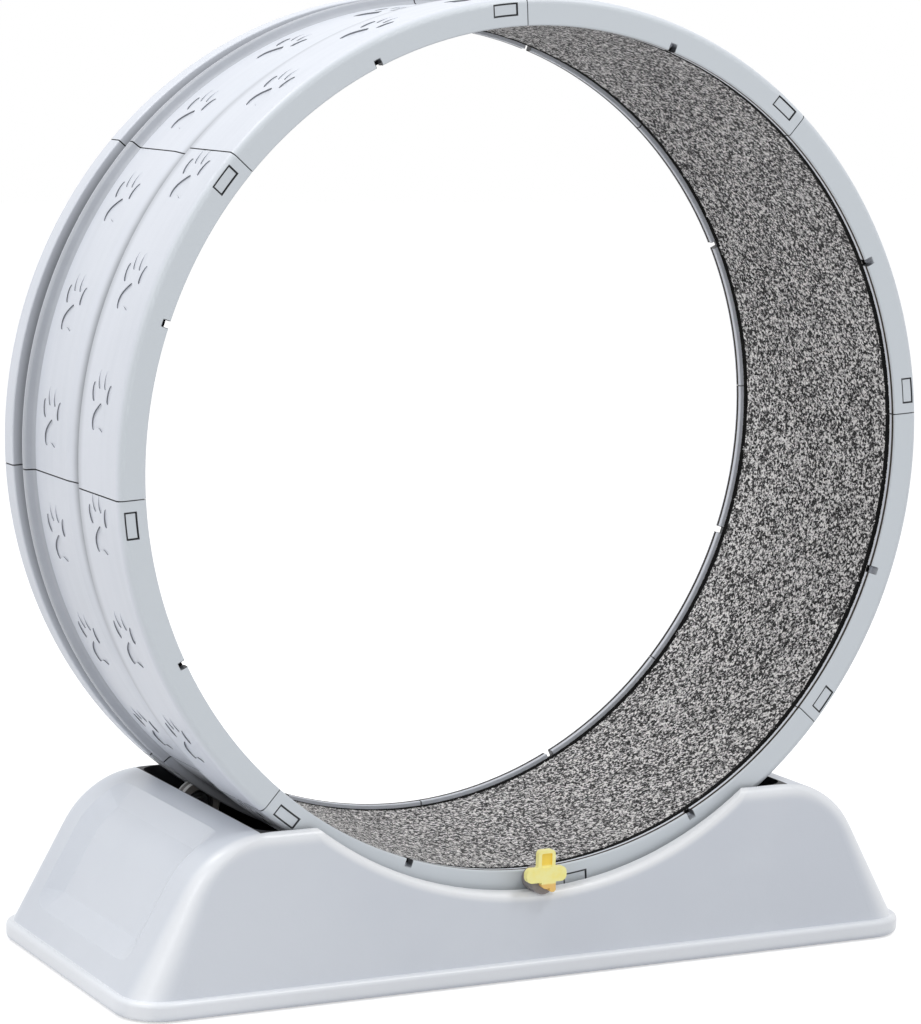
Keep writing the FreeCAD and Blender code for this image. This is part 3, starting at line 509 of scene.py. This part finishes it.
def tyreRubber(look):
    # Reach from the roller's own axis parts the pale treads, a painted highlight whose strength varies with
    # drift, with the groove between them, from the dull sides; height = grain
    finish = Finish("tyreRubber")
    x, y, z = finish.axes(finish.place)
    isBack = y.rise(*frontToBack)
    centre = [front + isBack * (back - front) for front, back in zip(look["frontAxis"], look["backAxis"])]
    across = abs(x) - centre[0]
    up = z - centre[1]
    reach = across.reach(up)
    drift = finish.noise(look["driftScale"], 3.0)
    grain = finish.noise(look["grain"]["scale"], 2.0)
    side = finish.mix(drift.rise(*look["toneSteps"]), look["side"], look["sideShade"])
    middle = abs(abs(y) - look["groove"]["place"]).fall(*look["groove"]["half"])
    paleTreadHighlight = finish.mix(middle, look["paleTreadHighlight"], look["grooveTone"])
    wearAndHighlight, rough = look["wearAndHighlight"], look["roughness"]
    # Painted highlight on the treads, its strength varied by drift
    wornAndHighlight = reach.rise(*look["treadReach"]) * (wearAndHighlight["base"] + wearAndHighlight["drift"] * (drift - 0.5))
    return finish.end({
        "Base Color": finish.mix(wornAndHighlight, side, paleTreadHighlight),
        "Roughness": rough["base"] + rough["grain"] * (grain - 0.5) - rough["wornAndHighlight"] * wornAndHighlight,
        "IOR": 1.5,
        "Normal": finish.bump(grain * look["grain"]["depth"]),
    })


leverLook = {
    "tone": (1.0, 0.89, 0.27),
    "edge": (1.0, 0.94, 0.40),
    "panelTone": (1.0, 0.72, 0.09),
    "legTone": (0.86, 0.48, 0.12),
    "toneSteps": (0.3, 0.8),
    "frontPlace": -0.18975,
    "panel": {
        "depth": (0.0007, 0.0012), "bottom": (0.1155, 0.1175), "top": (0.1285, 0.1292),
        "half": (0.0064, 0.0068),
    },
    "leg": {"top": (0.0965, 0.0985), "share": 0.8},
    "driftScale": 110.0,
    "grain": {"scale": 1500.0, "depth": 0.03},
    "roughness": {"base": 0.40, "drift": 0.12, "grain": 0.06},
}


def leverPlastic(look):
    # Pale bar, deeper yellow in the tongue's sunk panel and an orange leg; height = grain
    finish = Finish("leverPlastic")
    x, y, z = finish.axes(finish.place)
    drift = finish.noise(look["driftScale"], 3.0)
    grain = finish.noise(look["grain"]["scale"], 2.0)
    panel = look["panel"]
    inPanel = (y - look["frontPlace"]).rise(*panel["depth"]) * z.rise(*panel["bottom"]) * (
        abs(x).fall(*panel["half"]) * z.fall(*panel["top"]))
    colour = finish.mix(drift.rise(*look["toneSteps"]), look["edge"], look["tone"])
    colour = finish.mix(inPanel, colour, look["panelTone"])
    leg, rough = look["leg"], look["roughness"]
    return finish.end({
        "Base Color": finish.mix(leg["share"] * z.fall(*leg["top"]), colour, look["legTone"]),
        "Roughness": rough["base"] + rough["drift"] * (drift - 0.5) + rough["grain"] * (grain - 0.5),
        "IOR": 1.5,
        "Normal": finish.bump(grain * look["grain"]["depth"]),
    })


stations = ["front_left", "front_right", "back_left", "back_right"]
small = {name: mouldedPart(name, look, scuffLook) for name, look in smallLooks.items()}
steel = zincSteel(zincLook)
tyre = tyreRubber(tyreLook)
for station in stations:
    give(tyre, "roller_tyre_" + station)
    give(small["hubPlastic"], "roller_hub_" + station)
    give(small["bracketPlastic"], "roller_bracket_" + station)
    give(steel, "roller_bearing_" + station, "roller_axle_" + station)
give(steel, "roller_spacers", "axle_nuts", "bracket_screws")
give(small["bossPlastic"], "lock_boss")
give(small["pinPlastic"], "brake_pin")
give(small["padRubber"], "brake_pad", "base_feet")
give(leverPlastic(leverLook), "lock_lever")
print("small parts finished")

mat = {
    "pileRadius": 0.4219,
    "backRadius": 0.4262,
    "halfWidth": 0.1441,
    "jointAngle": 183.7,
    "jointGap": 0.0016,
    "grid": 0.0030,
    "pileRise": 0.0010,
    "besideShare": 0.35,
    "fade": {"end": 0.012, "side": 0.004},
    "backPoints": 7,
    "binding": {
        "width": 0.0088, "stand": 0.0004, "clearance": 0.00005, "overhang": 0.0003, "corners": 14,
        "power": 0.4, "threadPitch": 0.0030, "threadRise": 0.0002, "sideShare": 0.03, "phase": 0.6,
    },
    "seed": 41,
}


def ringPoints(angles, radii, widths):
    # point(i, j) = (r cos a, y, axis height + r sin a), with quads between neighbours; each row is a loop
    count, side = radii.shape
    turn = angles[:, None]
    points = np.stack([radii * np.cos(turn), widths + 0 * turn, axisHeight + radii * np.sin(turn)], 2)
    rows = np.arange(count - 1)[:, None]
    columns = np.arange(side)[None, :]
    nextColumn = (columns + 1) % side
    quads = np.stack(np.broadcast_arrays(
        rows * side + columns, rows * side + nextColumn,
        (rows + 1) * side + nextColumn, (rows + 1) * side + columns,
    ), 2).reshape(-1, 4)
    ends = [list(range(side))[::-1], list(range((count - 1) * side, count * side))]
    return points.reshape(-1, 3), quads, ends


def buildMesh(name, points, faces, smooth=True):
    mesh = bpy.data.meshes.new(name)
    mesh.from_pydata(points.tolist(), [], faces)
    mesh.polygons.foreach_set("use_smooth", [smooth] * len(mesh.polygons))
    mesh.validate()
    mesh.update()
    piece = bpy.data.objects.new(name, mesh)
    bpy.context.scene.collection.objects.link(piece)
    return piece


def fullTurn(look, spacing):
    # Angles from one end of the split ring to the other, an equal step apart
    half = look["jointGap"] / 2 / look["pileRadius"]
    count = int((2 * math.pi - 2 * half) * look["pileRadius"] / spacing)
    return math.radians(look["jointAngle"]) + half + np.linspace(0, 2 * math.pi - 2 * half, count)


def carpetPiece(look):
    # r = pile radius - rise * tufts * fade across the width, then along the back; tufts are random heights
    # smoothed over their four neighbours, and the fade flattens them along the ends and sides
    random = np.random.default_rng(look["seed"])
    angles = fullTurn(look, look["grid"])
    across = int(2 * look["halfWidth"] / look["grid"])
    y = np.linspace(-look["halfWidth"], look["halfWidth"], across)
    tufts = random.random((len(angles), across))
    beside = sum(np.roll(tufts, step, axis) for step in (1, -1) for axis in (0, 1))
    soft = tufts + look["besideShare"] * beside
    soft = (soft - soft.mean()) / (soft.max() - soft.min())
    ends = np.minimum(angles - angles[0], angles[-1] - angles) * look["pileRadius"]
    sides = look["halfWidth"] - np.abs(y)
    endFade = np.clip(ends / look["fade"]["end"], 0, 1)[:, None]
    sideFade = np.clip(sides / look["fade"]["side"], 0, 1)[None, :]
    pile = look["pileRadius"] - look["pileRise"] * soft * endFade * sideFade
    backY = np.linspace(look["halfWidth"], -look["halfWidth"], look["backPoints"])
    back = np.full((len(angles), look["backPoints"]), look["backRadius"])
    radii = np.concatenate([pile, back], 1)
    widths = np.concatenate([y, backY])[None, :]
    points, quads, caps = ringPoints(angles, radii, widths)
    return buildMesh("carpet", points, quads.tolist() + caps)


def bindingPiece(name, edge, look):
    # Tape round one long edge, a rounded box in section: r = middle + half thickness * swell * round(cos t)
    # and y = centre + half width * round(sin t), where round keeps the sign and takes a power of the size.
    # The wrapped thread's swell is 1 - rise / half thickness * (1 - |sin(pi s / pitch)|)
    tape = look["binding"]
    angles = fullTurn(look, tape["threadPitch"] / 4)
    low = look["pileRadius"] - tape["stand"]
    high = look["backRadius"] + tape["clearance"]
    middle = (low + high) / 2
    half = (high - low) / 2
    turn = np.linspace(0, 2 * math.pi, tape["corners"], endpoint=False)
    waves = np.cos(turn), np.sin(turn)
    bulgeR, bulgeY = (np.sign(wave) * np.abs(wave) ** tape["power"] for wave in waves)
    arc = (angles - angles[0]) * look["pileRadius"]
    thread = np.abs(np.sin(math.pi * arc / tape["threadPitch"] + tape["phase"] * edge))
    swell = (1 - tape["threadRise"] / half * (1 - thread))[:, None]
    radii = middle + half * swell * bulgeR[None, :]
    centreY = edge * (look["halfWidth"] + tape["overhang"] - tape["width"] / 2)
    sideSwell = 1 - tape["sideShare"] * (1 - swell)
    widths = centreY + edge * tape["width"] / 2 * bulgeY[None, :] * sideSwell
    points, quads, caps = ringPoints(angles, radii, widths)
    if edge < 0:
        quads = quads[:, ::-1]
        caps = [cap[::-1] for cap in caps]
    return buildMesh(name, points, quads.tolist() + caps)


carpetLook = {
    "loopSize": (0.0022, 0.0028),
    "strandSize": (0.0014, 0.0019),
    "waver": {"scale": 420.0, "arc": 0.0022, "width": 0.0030},
    "fibreScale": 2600.0,
    "driftScale": 14.0,
    "tone": {"loop": 0.60, "strand": 0.40, "fibre": 0.14, "drift": 0.10},
    "height": {"dome": 0.6, "steep": 1.4, "fibre": 0.25, "strand": 0.15},
    "stops": [
        (0.10, (0.003, 0.003, 0.0033)), (0.38, (0.013, 0.0127, 0.013)), (0.48, (0.12, 0.117, 0.119)),
        (0.59, (0.53, 0.52, 0.522)), (0.78, (0.93, 0.91, 0.905)),
    ],
    "roughness": 0.88,
}


def carpetYarn(look, radius):
    # Tone = loops + strands + fibres + drift, where loops and strands are cells laid out by arc and width
    # that take the cell's own value; height = domed loops + fibres + strands
    finish = Finish("carpetYarn")
    x, y, z = finish.axes(finish.place)
    arc = (z - axisHeight).turnFrom(x) * radius
    waver = look["waver"]
    shift = finish.axes(finish.noise(waver["scale"], 2.0, None, "Color"))
    shifted = [arc + waver["arc"] * (shift[0] - 0.5), y + waver["width"] * (shift[1] - 0.5)]
    loopPlace, strandPlace = (
        finish.joined(*[value * (1 / size) for value, size in zip(shifted, look[cell])], 0.0)
        for cell in ("loopSize", "strandSize"))
    loop = finish.axes(finish.cells(1.0, "Color", loopPlace))[0]
    strand = finish.axes(finish.cells(1.0, "Color", strandPlace))[1]
    dome = finish.cells(1.0, "Distance", loopPlace)
    fibre = finish.noise(look["fibreScale"], 2.0)
    drift = finish.noise(look["driftScale"], 3.0)
    share, rise = look["tone"], look["height"]
    tone = share["loop"] * loop + share["strand"] * strand
    tone = tone + share["fibre"] * (fibre - 0.5) + share["drift"] * (drift - 0.5)
    height = (1 - dome * rise["steep"]) * rise["dome"] + fibre * rise["fibre"] + strand * rise["strand"]
    return finish.end({
        "Base Color": finish.ramp(tone, look["stops"]),
        "Roughness": look["roughness"],
        "Specular IOR Level": 0.25,
        "Sheen Weight": 0.12,
        "Sheen Roughness": 0.5,
        "Normal": finish.bump(height, 0.0008),
    })


threadLook = {
    "tone": (0.0015, 0.0015, 0.0017),
    "wornAndHighlight": (0.009, 0.009, 0.009),
    "fibreScale": 1800.0,
    "wearScale": 35.0,
    "wearSteps": (0.3, 0.8),
    "roughness": {"base": 0.8, "fibre": 0.15},
}


def bindingThread(look):
    # Black polyester, paler where it is worn; height = fibres
    finish = Finish("bindingThread")
    fibre = finish.noise(look["fibreScale"], 3.0)
    wearAndHighlight = finish.noise(look["wearScale"], 3.0).rise(*look["wearSteps"])
    return finish.end({
        "Base Color": finish.mix(fibre * wearAndHighlight, look["tone"], look["wornAndHighlight"]),
        "Roughness": look["roughness"]["base"] + look["roughness"]["fibre"] * fibre,
        "Specular IOR Level": 0.12,
        "Normal": finish.bump(fibre, 0.0003),
    })


carpet = carpetPiece(mat)
carpet.data.materials.append(carpetYarn(carpetLook, mat["pileRadius"]))
bindings = [bindingPiece("mat_binding_front", -1, mat), bindingPiece("mat_binding_back", 1, mat)]
thread = bindingThread(threadLook)
for piece in bindings:
    piece.data.materials.append(thread)
for piece in [carpet, *bindings]:
    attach(piece, "wheel")
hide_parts("running_mat")
print("mat built:", len(carpet.data.polygons), "faces")

studio = {
    "floorHalf": 14.0,
    "floorTone": (0.68, 0.68, 0.685),
    "floorFleck": (0.65, 0.65, 0.655),
    "fleckScale": 40.0,
    "floorGlow": 0.60,
    "skyLight": 0.66,
    "lamps": {
        "key": {"power": 42.0, "size": 1.2, "place": (-1.7, 0.5, 3.7)},
        "fill": {"power": 34.0, "size": 1.0, "place": (1.5, -1.3, 3.4)},
        "side": {"power": 22.0, "size": 1.0, "place": (-3.1, -1.9, 2.2)},
    },
    "aim": (0.0, 0.0, 0.45),
}
view = {
    "focalPixels": 3422.09,
    "imageHeight": 1024,
    "azimuth": -27.43,
    "elevation": 7.94,
    "roll": 1.34,
    "distance": 3.53435,
    "aim": (-0.00828, 0.0, 0.44798),
    "sensorWidth": 36.0,
    "clipEnd": 60.0,
}


def seenDirectly(finish):
    # 1 for camera, mirror and glass rays
    rays = finish.outputs(
        finish.add("ShaderNodeLightPath", {}, {}), "Is Camera Ray", "Is Glossy Ray", "Is Transmission Ray")
    return rays[0] | rays[1] | rays[2]


def whiteFloor(look):
    # Rays that see the floor directly see it lit plus a glow; every other ray sees the plain floor
    finish = Finish("whiteFloor")
    plain = finish.add("ShaderNodeBsdfDiffuse", {}, {
        "Color": finish.mix(finish.noise(look["fleckScale"], 4.0), look["floorTone"], look["floorFleck"])})
    glow = finish.add("ShaderNodeEmission", {}, {"Color": (1.0, 1.0, 1.0), "Strength": look["floorGlow"]})
    bright = finish.add("ShaderNodeAddShader", {}, {0: plain, 1: glow})
    surface = finish.add("ShaderNodeMixShader", {}, {0: seenDirectly(finish), 1: plain, 2: bright})
    finish.add("ShaderNodeOutputMaterial", {}, {"Surface": surface})
    return finish.material


def buildFloor(look):
    half = look["floorHalf"]
    corners = np.array([(-half, -half, 0.0), (half, -half, 0.0), (half, half, 0.0), (-half, half, 0.0)])
    floor = buildMesh("floor", corners, [(0, 1, 2, 3)], False)
    floor.data.materials.append(whiteFloor(look))


def lightSky(look):
    # White where it is seen directly, an even soft light for everything else
    finish = Finish("studioSky", world=True)
    strength = look["skyLight"] + (1 - look["skyLight"]) * seenDirectly(finish)
    sky = finish.add("ShaderNodeBackground", {}, {"Color": (1.0, 1.0, 1.0), "Strength": strength})
    finish.add("ShaderNodeOutputWorld", {}, {"Surface": sky})
    bpy.context.scene.world = finish.material


def softbox(name, lamp, aim):
    # A square lamp whose -Z points from its place to the aim
    light = bpy.data.lights.new(name, "AREA")
    light.energy = lamp["power"]
    light.size = lamp["size"]
    holder = bpy.data.objects.new(name, light)
    bpy.context.scene.collection.objects.link(holder)
    place = Vector(lamp["place"])
    holder.location = place
    holder.rotation_euler = (place - Vector(aim)).to_track_quat("Z", "Y").to_euler()


def placeCamera(look):
    # back = (sin a cos e, -cos a cos e, sin e) points from the aim to the camera; roll turns right and up
    azimuth, elevation, roll = (math.radians(look[key]) for key in ("azimuth", "elevation", "roll"))
    flat = math.cos(elevation)
    back = Vector((math.sin(azimuth) * flat, -math.cos(azimuth) * flat, math.sin(elevation)))
    level = Vector((math.cos(azimuth), math.sin(azimuth), 0.0))
    above = back.cross(level)
    right = level * math.cos(roll) + above * math.sin(roll)
    up = above * math.cos(roll) - level * math.sin(roll)
    turn = Matrix((right, up, back)).transposed().to_4x4()
    lens = bpy.data.cameras.new("camera")
    lens.sensor_width = look["sensorWidth"]
    lens.lens = look["focalPixels"] * lens.sensor_width / look["imageHeight"]
    lens.clip_end = look["clipEnd"]
    camera = bpy.data.objects.new("camera", lens)
    bpy.context.scene.collection.objects.link(camera)
    camera.matrix_world = Matrix.Translation(Vector(look["aim"]) + back * look["distance"]) @ turn
    bpy.context.scene.camera = camera


buildFloor(studio)
lightSky(studio)
for name, lamp in studio["lamps"].items():
    softbox(name, lamp, studio["aim"])
placeCamera(view)
bpy.context.scene.view_settings.view_transform = "Standard"
print("studio lit")
